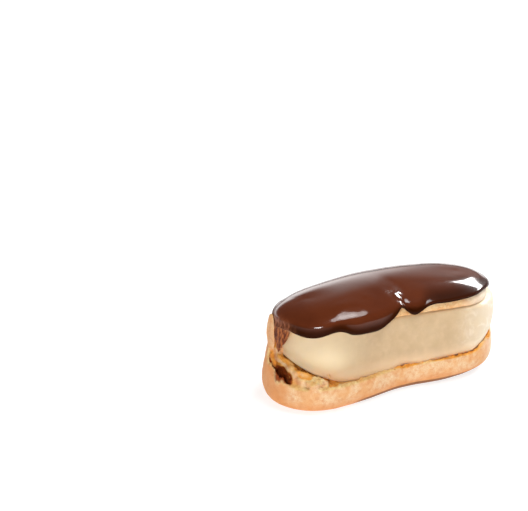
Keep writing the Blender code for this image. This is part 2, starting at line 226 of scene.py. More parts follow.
# Cream, in mm: its swell all over, size and height of its waves and smears, and its bulge at the foot
CREAM_SWELL = 0.3
CREAM_WAVE = (11.0, 0.22)
CREAM_SMEAR = (2.6, 0.06)
CREAM_FOOT = 1.9
CREAM_FOOT_HEIGHT = (15, 11.5)
CREAM_FOOT_FROM = (-34, -20)

# Places where the cream's foot stays back: x and width in mm, and how much
CREAM_FOOT_DIPS = ((5, 4, 0.7), (32, 12, 0.6))

# Where light is painted on the cream, in mm: pale right end, foot painted light against the rim's shade,
# lit left end and its bright patch
LIT_CREAM_END = (26, 50)
LIT_CREAM_FOOT = (19, 12)
LIT_LEFT_FROM = (-8, -34)
LIT_PATCH_X = (-32, 13)
LIT_PATCH_Z = (19, 8)

# Lid: its voxel, and the size and height of its relief, in mm
LID_VOXEL = 0.5
LID_LUMP = (3.0, 0.2)
LID_GRAIN = (1.2, 0.12)
LID_CRUMB_SHARE = 0.35

# Where the lid's finish changes, in mm: its band below the coat, pale right end, which is painted light,
# and flap
LID_BAND = (43, 40)
LIT_LID_END = (28, 48)
FLAP_FROM = (-47.5, -49.5)
FLAP_BELOW = (37.5, 35.5)

# Torn flap of the lid, in mm: its upper left, upper right and lowest corner, the way it faces, and its form
FLAP_CORNERS = ((-51.8, 5.2, 36.2), (-48.6, -9.4, 36.4), (-53.0, -5.0, 24.0))
FLAP_WAY = (-0.93, -0.36, 0.1)
FLAP_GRID = (16, 12)
FLAP_SWELL = 1.2
FLAP_WAVE = 0.35
FLAP_THICKNESS = 0.9

# Screen colours of the crust, red, green and blue from 0 to 255
SKIN_PALE = (246, 212, 168)
SKIN_GOLD = (240, 181, 124)
SKIN_GRAIN = (228, 158, 100)
SKIN_FLECK = (224, 142, 84)
FOOT_GOLD = (233, 149, 80)
# Painted contact shadow: the dark brown line along the foot
FOOT_SHADOW_BROWN = (150, 98, 62)

# Screen colours of the crumb and of the smeared flap
CRUMB_PALE = (252, 222, 160)
CRUMB_GOLD = (236, 188, 116)
CRUMB_PORE = (205, 134, 66)
CRUMB_FLECK = (216, 144, 76)
# Painted light: the right end of base and lid washed pale
LIT_END_PALE = (250, 230, 206)
AMBER_LIGHT = (250, 176, 78)
AMBER_DARK = (226, 138, 46)
# Brown of the pocket, partly painted shade of its depth
POCKET_BROWN_AND_SHADE = (150, 66, 14)
SMEAR_DARK = (96, 40, 14)
SMEAR_LIGHT = (186, 106, 56)

# Screen colours of the cream
CREAM_BODY = (203, 175, 137)
CREAM_SHADE = (199, 170, 132)
CREAM_STREAK = (234, 208, 168)
CREAM_BLOT = (228, 200, 160)
# Painted light: the lit left end, the pale right end with its whiter smears, and the foot lightened against
# the rim's shade
CREAM_LIT_LEFT = (240, 220, 182)
CREAM_LIT_END = (238, 220, 192)
CREAM_WHITE = (252, 240, 222)
CREAM_LIT_FOOT = (236, 206, 168)

# Screen colours of the chocolate
CHOCOLATE_BODY = (92, 40, 17)
CHOCOLATE_CLOUD = (100, 45, 20)
# Painted shade for the coat's lower band
CHOCOLATE_SHADE = (42, 14, 1)
CHOCOLATE_THIN = (150, 88, 60)

# Studio: strength of the room's light and of the backdrop
SKY_LIGHT = 0.06
HORIZON_LIGHT = 3.0

# Floor: half its size in metres, its grey and its glow
FLOOR_HALF = 1.5
FLOOR_GREY = (0.42, 0.42, 0.42, 1)
FLOOR_GLOW = 0.72

# Lamps: name, place and size in metres, power in watts, and shape
LAMP_TARGET = (0, 0, 0.03)
LAMPS = (
    ("window_softbox", (1.05, 0.5, 0.67), (0.84, 0.27), 17.0, "RECTANGLE"),
    ("front_softbox", (-0.62, -0.98, 0.46), (0.3, 0.3), 8.5, "RECTANGLE"),
    ("overhead_softbox", (0.2, -0.38, 1.18), (0.6, 0.6), 6.0, "ELLIPSE"),
    ("overhead_middle", (0.2, -0.38, 1.17), (0.32, 0.32), 1.0, "ELLIPSE"),
)


def linear(red, green, blue):
    """A screen colour of 0 to 255 as the linear colour that a shader takes."""
    shares = [value / 255 for value in (red, green, blue)]
    return tuple(s / 12.92 if s < 0.04045 else ((s + 0.055) / 1.055) ** 2.4 for s in shares)


def smoothstep(low, high, values):
    share = np.clip((np.asarray(values, float) - low) / (high - low), 0, 1)
    return share * share * (3 - 2 * share)


def bump(values, centre, width):
    return np.exp(-(((np.asarray(values, float) - centre) / width) ** 2))


# Work on meshes


def whole_mesh(node):
    """The solid's own mesh with its split corners joined and its triangle pairs as quads."""
    shape = bmesh.new()
    shape.from_mesh(frame["nodes"][node].data)
    bmesh.ops.remove_doubles(shape, verts=shape.verts, dist=1e-6)
    bmesh.ops.join_triangles(
        shape,
        faces=shape.faces,
        angle_face_threshold=math.radians(60),
        angle_shape_threshold=math.radians(80),
        cmp_seam=False,
        cmp_sharp=False,
        cmp_uvs=False,
        cmp_vcols=False,
        cmp_materials=False,
    )
    mesh = bpy.data.meshes.new(node + "_whole")
    shape.to_mesh(mesh)
    shape.free()
    return mesh


def changed(mesh, kind, **settings):
    """What a modifier makes of a mesh, as a new mesh."""
    holder = bpy.data.objects.new("holder", mesh)
    bpy.context.scene.collection.objects.link(holder)
    modifier = holder.modifiers.new("change", kind)
    for name, value in settings.items():
        setattr(modifier, name, value)
    graph = bpy.context.evaluated_depsgraph_get()
    result = bpy.data.meshes.new_from_object(holder.evaluated_get(graph))
    bpy.data.objects.remove(holder)
    return result


def points_of(mesh):
    """The mesh's points in mm, one row each."""
    flat = np.empty(len(mesh.vertices) * 3)
    mesh.vertices.foreach_get("co", flat)
    return flat.reshape(-1, 3) / MM


def normals_of(mesh):
    flat = np.empty(len(mesh.vertices) * 3)
    mesh.vertices.foreach_get("normal", flat)
    return flat.reshape(-1, 3)


def move_points(mesh, points):
    mesh.vertices.foreach_set("co", (points * MM).ravel())
    mesh.update()


def grain(points, size, seed):
    """Smooth lumps from -1 to 1 of about the given size in mm."""
    shift = Vector((17.3, 5.1, 9.7)) * seed
    return np.array([noise.noise(Vector(p) / size + shift) for p in points])


def relief(points, lumps, seed):
    """Smooth lumps of the given size and height, in mm."""
    size, height = lumps
    return grain(points, size, seed) * height


def pits(points, size, seed):
    """Round pits: 1 in the middle of a pit, falling to 0 between pits."""
    shift = Vector((3.3, 8.1, 1.7)) * seed
    away = np.array([noise.voronoi(Vector(p) / size + shift)[0][0] for p in points])
    return 1 - smoothstep(0.12, 0.55, away)


def soften(mesh, values, rounds):
    """Spreads a mask over neighbouring points."""
    edges = np.empty(len(mesh.edges) * 2, int)
    mesh.edges.foreach_get("vertices", edges)
    first, second = edges[0::2], edges[1::2]
    count = np.bincount(edges, minlength=len(values))
    for _ in range(rounds):
        total = np.bincount(first, values[second], len(values))
        total += np.bincount(second, values[first], len(values))
        values = 0.4 * values + 0.6 * total / count
    return values


def keep(mesh, name, values):
    """Stores a mask on the mesh's points for its material."""
    layer = mesh.attributes.new(name, "FLOAT", "POINT")
    layer.data.foreach_set("value", np.clip(np.asarray(values, float), 0, 1))


def add_lump(shape, centre, sizes):
    """Adds an egg-shaped lump to a shape, its place and half sizes in mm."""
    made = bmesh.ops.create_icosphere(shape, subdivisions=3, radius=1.0)
    for vertex in made["verts"]:
        stretched = Vector(c * size for c, size in zip(vertex.co, sizes))
        vertex.co = (stretched + Vector(centre)) * MM


def joined(mesh, lumps):
    """The mesh with lumps set into it, still as separate shells."""
    shape = bmesh.new()
    shape.from_mesh(mesh)
    for centre, sizes in lumps:
        add_lump(shape, centre, sizes)
    result = bpy.data.meshes.new("joined")
    shape.to_mesh(result)
    shape.free()
    return result


def hollowed(mesh, hollows):
    """The mesh with hollows cut out of it, their walls a little uneven."""
    lumps = joined(bpy.data.meshes.new("empty"), hollows)
    cutter = changed(lumps, "REMESH", mode="VOXEL", voxel_size=HOLLOW_VOXEL * MM)
    points, normals = points_of(cutter), normals_of(cutter)
    move_points(cutter, points + normals * relief(points, HOLLOW_WALL, 31)[:, None])
    holder = bpy.data.objects.new("cutter", cutter)
    bpy.context.scene.collection.objects.link(holder)
    result = changed(mesh, "BOOLEAN", object=holder, operation="DIFFERENCE", solver="EXACT")
    bpy.data.objects.remove(holder)
    return result


def near(points, centre, sizes):
    """1 at a place, falling to 0 a little beyond the half sizes given."""
    away = (((points - centre) / sizes) ** 2).sum(axis=1)
    return np.exp(-away * away)


def close_to(points, lumps, reach):
    """1 in the middle of each lump of a row, falling to 0 a little beyond its half sizes times reach."""
    return np.max([near(points, centre, np.array(sizes) * reach) for centre, sizes in lumps], axis=0)


def covered(points, directions, tree):
    """1 for points that have part of the solid beyond them in their direction."""
    start = points + directions * 0.15
    hits = []
    for place, way in zip(start, directions):
        hits.append(tree.ray_cast(Vector(place) * MM, Vector(way))[0] is not None)
    return np.array(hits, float)


def piece(name, mesh, material, node):
    """A finished piece that stands for a solid, with its material; the solid's own mesh is hidden."""
    mesh.name = name
    mesh.materials.clear()
    mesh.materials.append(material)
    mesh.polygons.foreach_set("use_smooth", [True] * len(mesh.polygons))
    thing = bpy.data.objects.new(name, mesh)
    bpy.context.scene.collection.objects.link(thing)
    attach(thing, "root")
    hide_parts(node)
    return thing


# Shader nodes and materials


def group(name, inputs, outputs):
    """An empty shader group with named float or colour sockets."""
    tree = bpy.data.node_groups.new(name, "ShaderNodeTree")
    for label, kind, value in inputs:
        socket = tree.interface.new_socket(label, in_out="INPUT", socket_type=kind)
        socket.default_value = value
    for label, kind in outputs:
        tree.interface.new_socket(label, in_out="OUTPUT", socket_type=kind)
    enter = tree.nodes.new("NodeGroupInput")
    leave = tree.nodes.new("NodeGroupOutput")
    return tree, enter, leave


def in_mm(tree):
    """The place on the object, in mm."""
    place = tree.nodes.new("ShaderNodeTexCoord")
    scale = tree.nodes.new("ShaderNodeMapping")
    scale.inputs["Scale"].default_value = (1000, 1000, 1000)
    tree.links.new(place.outputs["Object"], scale.inputs["Vector"])
    return scale.outputs["Vector"]


def math_node(tree, operation, first, second):
    node = tree.nodes.new("ShaderNodeMath")
    node.operation = operation
    for socket, value in zip(node.inputs, (first, second)):
        if isinstance(value, bpy.types.NodeSocket):
            tree.links.new(value, socket)
        else:
            socket.default_value = value
    return node.outputs[0]


def ramp(tree, value, low, high, low_to=0.0, high_to=1.0):
    """Eases a value from low..high to low_to..high_to."""
    node = tree.nodes.new("ShaderNodeMapRange")
    node.interpolation_type = "SMOOTHSTEP"
    node.inputs["From Min"].default_value = low
    node.inputs["From Max"].default_value = high
    node.inputs["To Min"].default_value = low_to
    node.inputs["To Max"].default_value = high_to
    tree.links.new(value, node.inputs["Value"])
    return node.outputs["Result"]


def mix(tree, share, first, second):
    """Two colours mixed by a share, each a socket or a screen colour."""
    node = tree.nodes.new("ShaderNodeMix")
    node.data_type = "RGBA"
    tree.links.new(share, node.inputs["Factor"])
    for label, value in (("A", first), ("B", second)):
        socket = [s for s in node.inputs if s.name == label and s.type == "RGBA"][0]
        if isinstance(value, bpy.types.NodeSocket):
            tree.links.new(value, socket)
        else:
            socket.default_value = (*linear(*value), 1)
    return [s for s in node.outputs if s.type == "RGBA"][0]


def mask(tree, name):
    """A mask that was stored on the mesh's points."""
    node = tree.nodes.new("ShaderNodeAttribute")
    node.attribute_type = "GEOMETRY"
    node.attribute_name = name
    return node.outputs["Fac"]


def noise_value(tree, vector, scale, detail, rough, bend=0.0):
    """Smooth noise from 0 to 1, its scale in lumps for each mm."""
    node = tree.nodes.new("ShaderNodeTexNoise")
    node.inputs["Scale"].default_value = scale
    node.inputs["Detail"].default_value = detail
    node.inputs["Roughness"].default_value = rough
    node.inputs["Distortion"].default_value = bend
    tree.links.new(vector, node.inputs["Vector"])
    return node.outputs["Fac"]


def bake_mottle():
    """Oven colouring: soft broad patches, small flecks and a fine grain, each from 0 to 1."""
    tree, _, leave = group(
        "bake_mottle",
        [],
        [("Patches", "NodeSocketFloat"), ("Flecks", "NodeSocketFloat"), ("Grain", "NodeSocketFloat")],
    )
    place = in_mm(tree)
    patches = noise_value(tree, place, 0.16, 4, 0.55, 0.4)
    flecks = noise_value(tree, place, 0.42, 5, 0.62, 0.3)
    fine = noise_value(tree, place, 2.6, 3, 0.6)
    tree.links.new(ramp(tree, patches, 0.36, 0.66), leave.inputs["Patches"])
    tree.links.new(ramp(tree, flecks, 0.44, 0.7), leave.inputs["Flecks"])
    tree.links.new(fine, leave.inputs["Grain"])
    return tree


def crumb_pores():
    """Open crumb: scattered holes of different sizes in soft paste."""
    tree, enter, leave = group(
        "crumb_pores",
        [("Size", "NodeSocketFloat", 1.0)],
        [("Pore", "NodeSocketFloat"), ("Height", "NodeSocketFloat")],
    )
    place = in_mm(tree)
    scaled = tree.nodes.new("ShaderNodeVectorMath")
    scaled.operation = "SCALE"
    tree.links.new(place, scaled.inputs[0])
    tree.links.new(math_node(tree, "DIVIDE", 1.0, enter.outputs["Size"]), scaled.inputs["Scale"])
    cells = tree.nodes.new("ShaderNodeTexVoronoi")
    cells.inputs["Scale"].default_value = 1.0
    tree.links.new(scaled.outputs["Vector"], cells.inputs["Vector"])
    chance = tree.nodes.new("ShaderNodeSeparateColor")
    tree.links.new(cells.outputs["Color"], chance.inputs["Color"])
    reach = ramp(tree, chance.outputs["Red"], 0.35, 1.0, 0.02, 0.5)
    pore = math_node(tree, "DIVIDE", cells.outputs["Distance"], reach)
    pore = ramp(tree, pore, 0.3, 1.0, 1.0, 0.0)
    tree.links.new(pore, leave.inputs["Pore"])
    soft = noise_value(tree, scaled.outputs["Vector"], 1.3, 4, 0.6)
    paste = math_node(tree, "MULTIPLY", soft, 1.6)
    tree.links.new(math_node(tree, "SUBTRACT", paste, pore), leave.inputs["Height"])
    return tree


def use(tree, made, **values):
    """A shader group placed in a material, with its own values."""
    node = tree.nodes.new("ShaderNodeGroup")
    node.node_tree = made
    for label, value in values.items():
        node.inputs[label].default_value = value
    return node


def blank_material(name):
    """A new material with its node tree and its Principled shader."""
    material = bpy.data.materials.new(name)
    material.use_nodes = True
    tree = material.node_tree
    shader = [n for n in tree.nodes if n.type == "BSDF_PRINCIPLED"][0]
    return material, tree, shader


def bumped(tree, shader, height, distance):
    """Fine relief in the finish, as deep as the distance in mm."""
    node = tree.nodes.new("ShaderNodeBump")
    node.inputs["Distance"].default_value = distance * MM
    tree.links.new(height, node.inputs["Height"])
    tree.links.new(node.outputs["Normal"], shader.inputs["Normal"])


def stretched(tree, place, scale):
    """The place with its own scale along each axis, for a pattern drawn out one way."""
    node = tree.nodes.new("ShaderNodeMapping")
    node.inputs["Scale"].default_value = scale
    tree.links.new(place, node.inputs["Vector"])
    return node.outputs["Vector"]


def smeared_skin(tree):
    """Streaks of thin chocolate dragged down over the skin."""
    drawn = stretched(tree, in_mm(tree), (0.9, 0.9, 0.14))
    streaks = ramp(tree, noise_value(tree, drawn, 1.0, 3, 0.6, 0.3), 0.4, 0.62)
    return mix(tree, streaks, SMEAR_DARK, SMEAR_LIGHT)


def baked_crust(mottle, pores):
    """Golden baked crust outside, pale open crumb where it is cut or torn, brown in its hollows; painted
    shade in the hollows, painted contact shadow along the foot and painted light on the right end.
    """
    material, tree, shader = blank_material("baked_crust")
    oven = use(tree, mottle)
    holes = use(tree, pores, Size=1.5)
    skin = mix(tree, oven.outputs["Patches"], SKIN_PALE, SKIN_GOLD)
    fine = ramp(tree, oven.outputs["Grain"], 0.42, 0.68, 0.0, 0.45)
    skin = mix(tree, fine, skin, SKIN_GRAIN)
    foot = ramp(tree, mask(tree, "toast_and_shadow"), 0.0, 0.4)
    skin = mix(tree, math_node(tree, "MULTIPLY", foot, 0.7), skin, FOOT_GOLD)
    fleck = math_node(tree, "MULTIPLY", oven.outputs["Flecks"], 0.55)
    skin = mix(tree, fleck, skin, SKIN_FLECK)
    # Painted contact shadow: the dark line low along the foot
    skin = mix(tree, ramp(tree, mask(tree, "toast_and_shadow"), 0.4, 0.9), skin, FOOT_SHADOW_BROWN)
    inside = mix(tree, oven.outputs["Patches"], CRUMB_PALE, CRUMB_GOLD)
    pore = math_node(tree, "MULTIPLY", holes.outputs["Pore"], 0.45)
    inside = mix(tree, pore, inside, CRUMB_PORE)
    fleck = math_node(tree, "MULTIPLY", oven.outputs["Flecks"], 0.5)
    inside = mix(tree, fleck, inside, CRUMB_FLECK)
    colour = mix(tree, mask(tree, "crumb"), skin, inside)
    # Painted light: the right end washed pale, from the mask named pale
    colour = mix(tree, mask(tree, "pale"), colour, LIT_END_PALE)
    amber = mix(tree, oven.outputs["Flecks"], AMBER_LIGHT, AMBER_DARK)
    colour = mix(tree, mask(tree, "amber"), colour, amber)
    colour = mix(tree, mask(tree, "smear"), colour, smeared_skin(tree))
    # The deep mask: the pocket's brown, partly painted shade, and painted shade in the recess and the rim
    # gaps
    colour = mix(tree, mask(tree, "deep"), colour, POCKET_BROWN_AND_SHADE)
    tree.links.new(colour, shader.inputs["Base Color"])
    shader.inputs["Roughness"].default_value = 0.62
    shader.inputs["Specular IOR Level"].default_value = 0.25
    height = math_node(tree, "MULTIPLY", holes.outputs["Height"], mask(tree, "crumb"))
    height = math_node(tree, "ADD", height, math_node(tree, "MULTIPLY", oven.outputs["Grain"], 1.3))
    bumped(tree, shader, height, 0.32)
    return material


def custard_cream():
    """Thick set custard, a little see-through, with the streaks of the knife, and painted light on its ends
    and its foot.
    """
    material, tree, shader = blank_material("custard_cream")
    place = in_mm(tree)
    broad = noise_value(tree, place, 0.07, 3, 0.5, 0.5)
    streak = noise_value(tree, stretched(tree, place, (0.3, 0.3, 0.12)), 1.0, 4, 0.6, 0.3)
    # Masks of painted light: the pale right end and the lit left end
    pale = mask(tree, "pale")
    painted_lit_left = mask(tree, "painted_lit_left")
    colour = mix(tree, ramp(tree, broad, 0.35, 0.65), CREAM_BODY, CREAM_SHADE)
    colour = mix(tree, ramp(tree, streak, 0.45, 0.75, 0.0, 0.14), colour, CREAM_STREAK)
    blot = noise_value(tree, place, 0.22, 4, 0.55, 0.3)
    colour = mix(tree, ramp(tree, blot, 0.35, 0.75, 0.0, 0.3), colour, CREAM_BLOT)
    colour = mix(tree, painted_lit_left, colour, CREAM_LIT_LEFT)
    colour = mix(tree, pale, colour, CREAM_LIT_END)
    smear = ramp(tree, noise_value(tree, place, 0.2, 5, 0.62, 0.6), 0.46, 0.72, 0.0, 0.8)
    colour = mix(tree, math_node(tree, "MULTIPLY", smear, pale), colour, CREAM_WHITE)
    # Painted light: the foot lightened against the rim's shade
    colour = mix(tree, mask(tree, "foot"), colour, CREAM_LIT_FOOT)
    tree.links.new(colour, shader.inputs["Base Color"])
    shader.inputs["Roughness"].default_value = 0.42
    shader.inputs["Specular IOR Level"].default_value = 0.35
    shader.inputs["Subsurface Weight"].default_value = 0.35
    shader.inputs["Subsurface Radius"].default_value = (1.0, 0.75, 0.45)
    shader.inputs["Subsurface Scale"].default_value = 0.002
    fine = noise_value(tree, place, 0.9, 4, 0.6)
    bumped(tree, shader, fine, 0.1)
    return material


def poured_chocolate():
    """Glossy dark chocolate, a lighter brown where the coat is thin, and painted shade on its lower band.
    """
    material, tree, shader = blank_material("poured_chocolate")
    place = in_mm(tree)
    cloud = noise_value(tree, place, 0.06, 3, 0.5)
    thin = mask(tree, "thin")
    colour = mix(tree, ramp(tree, cloud, 0.35, 0.65), CHOCOLATE_BODY, CHOCOLATE_CLOUD)
    # Painted shade: the lower band drawn darker, from the mask named thick
    colour = mix(tree, mask(tree, "thick"), colour, CHOCOLATE_SHADE)
    drawn = stretched(tree, place, (0.8, 0.8, 0.2))
    streaks = ramp(tree, noise_value(tree, drawn, 1.0, 3, 0.6, 0.3), 0.4, 0.65, 0.25, 1.0)
    colour = mix(tree, math_node(tree, "MULTIPLY", thin, streaks), colour, CHOCOLATE_THIN)
    tree.links.new(colour, shader.inputs["Base Color"])
    shader.inputs["Roughness"].default_value = 0.35
    shader.inputs["Specular IOR Level"].default_value = 0.03
    shader.inputs["Coat Roughness"].default_value = 0.1
    shader.inputs["Coat IOR"].default_value = 1.5
    gloss = ramp(tree, mask(tree, "dull"), 0.0, 0.9, 1.0, 0.04)
    tree.links.new(gloss, shader.inputs["Coat Weight"])
    return material


# Pieces of the eclair


def outward_of(points):
    """Sideways direction away from the base's own middle line, one row for each point."""
    turn = math.radians(BASE_TURN)
    along = np.array([math.cos(turn), -math.sin(turn)])
    flat = points[:, :2]
    reach = np.clip(flat @ along, -BASE_HALF_LINE, BASE_HALF_LINE)
    away = flat - reach[:, None] * along
    return away / np.maximum(np.linalg.norm(away, axis=1, keepdims=True), 1e-6)


def heap_of_crumbs():
    """Loose crumbs of different sizes, heaped where the crumb has broken away."""
    centre, spread, count = CRUMB_HEAP
    draw = np.random.default_rng(7)
    crumbs = []
    for _ in range(count):
        place = np.array(centre) + draw.normal(0, 0.55, 3) * spread
        size = draw.uniform(*CRUMB_SIZES)
        crumbs.append((tuple(place), tuple(size * draw.uniform(0.7, 1.2, 3))))
    return crumbs


def base_mesh():
    """The base with its torn end worked out, and a search tree of its plain solid."""
    rough = changed(whole_mesh("choux_base"), "SUBSURF", levels=1)
    tree = BVHTree.FromPolygons(
        [v.co for v in rough.vertices], [tuple(f.vertices) for f in rough.polygons]
    )
    size = BASE_VOXEL * MM
    rough = joined(rough, TORN_FACE + TORN_RIDGE + HINGE_STRIP + tuple(heap_of_crumbs()))
    mesh = changed(rough, "REMESH", mode="VOXEL", voxel_size=size)
    mesh = hollowed(mesh, HOLLOWS)
    mesh = changed(mesh, "REMESH", mode="VOXEL", voxel_size=size)
    return changed(mesh, "SMOOTH", factor=0.5, iterations=2), tree


def open_crumb(mesh, tree):
    """Where the base shows crumb: inside its wall, on its cut rim and in the hollows."""
    points, normals = points_of(mesh), normals_of(mesh)
    outward = np.column_stack([outward_of(points), np.zeros(len(points))])
    inside = covered(points, outward, tree) * smoothstep(*CRUMB_INSIDE, points[:, 2])
    top = smoothstep(0.55, 0.8, normals[:, 2]) * smoothstep(*CRUMB_TOP, points[:, 2])
    hollow = smoothstep(0.3, 0.6, close_to(points, HOLLOWS, 1.35))
    return soften(mesh, np.max([top, inside, hollow], axis=0), 2)


def base_relief(points, crumb):
    """How far each point of the base is raised: gently on the crust, more where the crumb is open."""
    above = smoothstep(0.2, 2.5, points[:, 2])
    torn = smoothstep(*TORN_FROM, points[:, 0]) * crumb
    baked = relief(points, CRUST_LUMP, 1) + relief(points, CRUST_DENT, 2)
    baked += relief(points, CRUST_GRAIN, 3)
    pit_size, pit_depth = CRUMB_PIT
    crumble = relief(points, CRUMB_LUMP, 4) + relief(points, CRUMB_GRAIN, 9)
    crumble -= pits(points, pit_size, 5) * pit_depth
    crumble += torn * (relief(points, TORN_LUMP, 6) + relief(points, TORN_GRAIN, 7))
    return baked * above * (1 - crumb) + crumble * crumb


def pocket_brown_and_shade(points):
    """Where the crumb is painted dark brown: the pocket, its own brown partly painted shade of its depth,
    and painted shade a little in the recess and along the rim.
    """
    pocket = smoothstep(0.4, 0.62, close_to(points, DARK_POCKET, 1.4))
    recess = near(points, *RECESS_PAINTED_SHADE) * PAINTED_SHADE_DEPTH
    gap = smoothstep(0.4, 0.7, close_to(points, RIM_GAP, 1.4)) * PAINTED_SHADE_DEPTH
    return np.max([pocket, recess, gap], axis=0)


def amber_crumb(points):
    """Where the crumb is soaked and amber: the torn face, the hollows and the line along the cream."""
    parts = [near(points, centre, sizes) * depth for centre, sizes, depth in AMBER_PLACES]
    parts.append(sum(near(points, centre, sizes) for centre, sizes in AMBER_ALONG_CREAM))
    for lumps, reach, (start, full), depth in AMBER_ROUND:
        parts.append(smoothstep(start, full, close_to(points, lumps, reach)) * depth)
    return np.max(parts, axis=0)


def foot_baking_and_shadow(points):
    """Toasting round the foot and at the left tip, and painted contact shadow as a dark line low round the
    foot, strongest along the front and right.
    """
    low = smoothstep(*FOOT_SHADOW_HEIGHT, points[:, 2]) * smoothstep(*FOOT_SHADOW_FROM, points[:, 0])
    tip = smoothstep(*TOAST_TIP, points[:, 0]) * 0.4
    return np.max([low, tip, smoothstep(*TOAST_LIGHT, points[:, 2]) * 0.4], axis=0)


def make_base(material):
    mesh, tree = base_mesh()
    crumb = open_crumb(mesh, tree)
    points = points_of(mesh)
    points = points + normals_of(mesh) * base_relief(points, crumb)[:, None]
    points[:, 2] = np.maximum(points[:, 2], 0.0)
    move_points(mesh, points)
    keep(mesh, "crumb", crumb)
    # Painted light: the right end washed pale
    keep(mesh, "pale", smoothstep(*LIT_CRUST_END, points[:, 0]) * 0.7)
    keep(mesh, "amber", amber_crumb(points) * crumb)
    # The toast mask also holds the painted contact shadow along the foot
    keep(mesh, "toast_and_shadow", foot_baking_and_shadow(points) * (1 - crumb))
    # Painted shade in the recess and the rim gaps, over the pocket's own brown
    keep(mesh, "deep", pocket_brown_and_shade(points) * crumb)
    return piece("bun_base", mesh, material, "choux_base")


def cream_bulge(points):
    """How far the cream bulges at its foot, with dips where it stays back."""
    height = smoothstep(*CREAM_FOOT_HEIGHT, points[:, 2])
    bulge = CREAM_FOOT * height * smoothstep(*CREAM_FOOT_FROM, points[:, 0])
    dips = [bump(points[:, 0], place, width) * depth for place, width, depth in CREAM_FOOT_DIPS]
    return bulge * (1 - sum(dips))


def make_cream(material):
    mesh = changed(whole_mesh("cream_filling"), "SUBSURF", levels=2)
    points, normals = points_of(mesh), normals_of(mesh)
    upright = points * (1, 1, 0.5)
    lift = CREAM_SWELL + relief(upright, CREAM_WAVE, 11) + relief(upright, CREAM_SMEAR, 12)
    points = points + normals * (lift + cream_bulge(points))[:, None]
    move_points(mesh, points)
    # Masks of painted light: pale right end, lightened foot, lit left end and its bright patch
    keep(mesh, "pale", smoothstep(*LIT_CREAM_END, points[:, 0]))
    keep(mesh, "foot", smoothstep(*LIT_CREAM_FOOT, points[:, 2]) * 0.8)
    glow = bump(points[:, 2], *LIT_PATCH_Z) * bump(points[:, 0], *LIT_PATCH_X)
    keep(mesh, "painted_lit_left", smoothstep(*LIT_LEFT_FROM, points[:, 0]) * (0.45 + 0.75 * glow))
    return piece("cream_slab", mesh, material, "cream_filling")


def torn_flap():
    """The shred of lid skin that hangs at the left end, as a thin closed sheet."""
    left, right, tip = (Vector(corner) for corner in FLAP_CORNERS)
    outward = Vector(FLAP_WAY).normalized()
    shape = bmesh.new()
    rows, columns = FLAP_GRID
    sides = []
    for side in (0, 1):
        grid = []
        for r in range(rows + 1):
            down = r / rows
            row = []
            for c in range(columns + 1):
                across = c / columns
                place = left.lerp(right, across).lerp(tip, down**1.15)
                swell = FLAP_SWELL * math.sin(math.pi * across) * (1 - down)
                wave = FLAP_WAVE * noise.noise(Vector((place.y / 2.0, place.z / 5.0, 4.0)))
                thick = (FLAP_THICKNESS - 0.5 * down) * side
                row.append(shape.verts.new((place + outward * (swell + wave - thick)) * MM))
            grid.append(row)
        sides.append(grid)
    close_sheet(shape, sides[0], sides[1])
    mesh = bpy.data.meshes.new("torn_flap")
    shape.to_mesh(mesh)
    shape.free()
    return mesh


def close_sheet(shape, front, back):
    """Joins two grids of points into one closed thin sheet."""
    rows, columns = len(front) - 1, len(front[0]) - 1
    for r in range(rows):
        for c in range(columns):
            shape.faces.new((front[r][c], front[r + 1][c], front[r + 1][c + 1], front[r][c + 1]))
            shape.faces.new((back[r][c], back[r][c + 1], back[r + 1][c + 1], back[r + 1][c]))
    rim = [(r, 0) for r in range(rows)] + [(rows, c) for c in range(columns)]
    rim += [(r, columns) for r in range(rows, 0, -1)] + [(0, c) for c in range(columns, 0, -1)]
    for (r, c), (q, d) in zip(rim, rim[1:] + rim[:1]):
        shape.faces.new((front[r][c], back[r][c], back[q][d], front[q][d]))
    bmesh.ops.recalc_face_normals(shape, faces=shape.faces)


def together(first, second):
    """Two meshes as one, still as separate shells."""
    shape = bmesh.new()
    shape.from_mesh(first)
    shape.from_mesh(second)
    result = bpy.data.meshes.new("together")
    shape.to_mesh(result)
    shape.free()
    return result


def make_lid(material):
    rough = changed(whole_mesh("choux_lid"), "SUBSURF", levels=1)
    rough = together(rough, torn_flap())
    mesh = changed(rough, "REMESH", mode="VOXEL", voxel_size=LID_VOXEL * MM)
    mesh = changed(mesh, "SMOOTH", factor=0.5, iterations=1)
    points, normals = points_of(mesh), normals_of(mesh)
    lift = relief(points, LID_LUMP, 21) + relief(points, LID_GRAIN, 22)
    band = smoothstep(*LID_BAND, points[:, 2])
    points = points + normals * (lift * band)[:, None]
    move_points(mesh, points)
    flap = smoothstep(*FLAP_FROM, points[:, 0]) * smoothstep(*FLAP_BELOW, points[:, 2])
    keep(mesh, "crumb", LID_CRUMB_SHARE * band * (1 - flap))
    keep(mesh, "smear", flap)
    # Painted light: the right end washed pale
    keep(mesh, "pale", smoothstep(*LIT_LID_END, points[:, 0]))
    return piece("bun_lid", mesh, material, "choux_lid")


def round_the_edge(points):
    """Each point's way round the coat's outline from the middle of its front, and half of the whole way."""
    x, y = points[:, 0], points[:, 1]
    past = np.maximum(np.abs(x) - COAT_STRAIGHT, 0)
    turn = np.arctan2(past, np.abs(y)) * COAT_END_RADIUS
    along = np.minimum(np.abs(x), COAT_STRAIGHT) + turn
    half = COAT_STRAIGHT * 2 + COAT_END_RADIUS * math.pi
    along = np.where(y > 0, half - along, along)
    return np.where(x < 0, -along, along), half


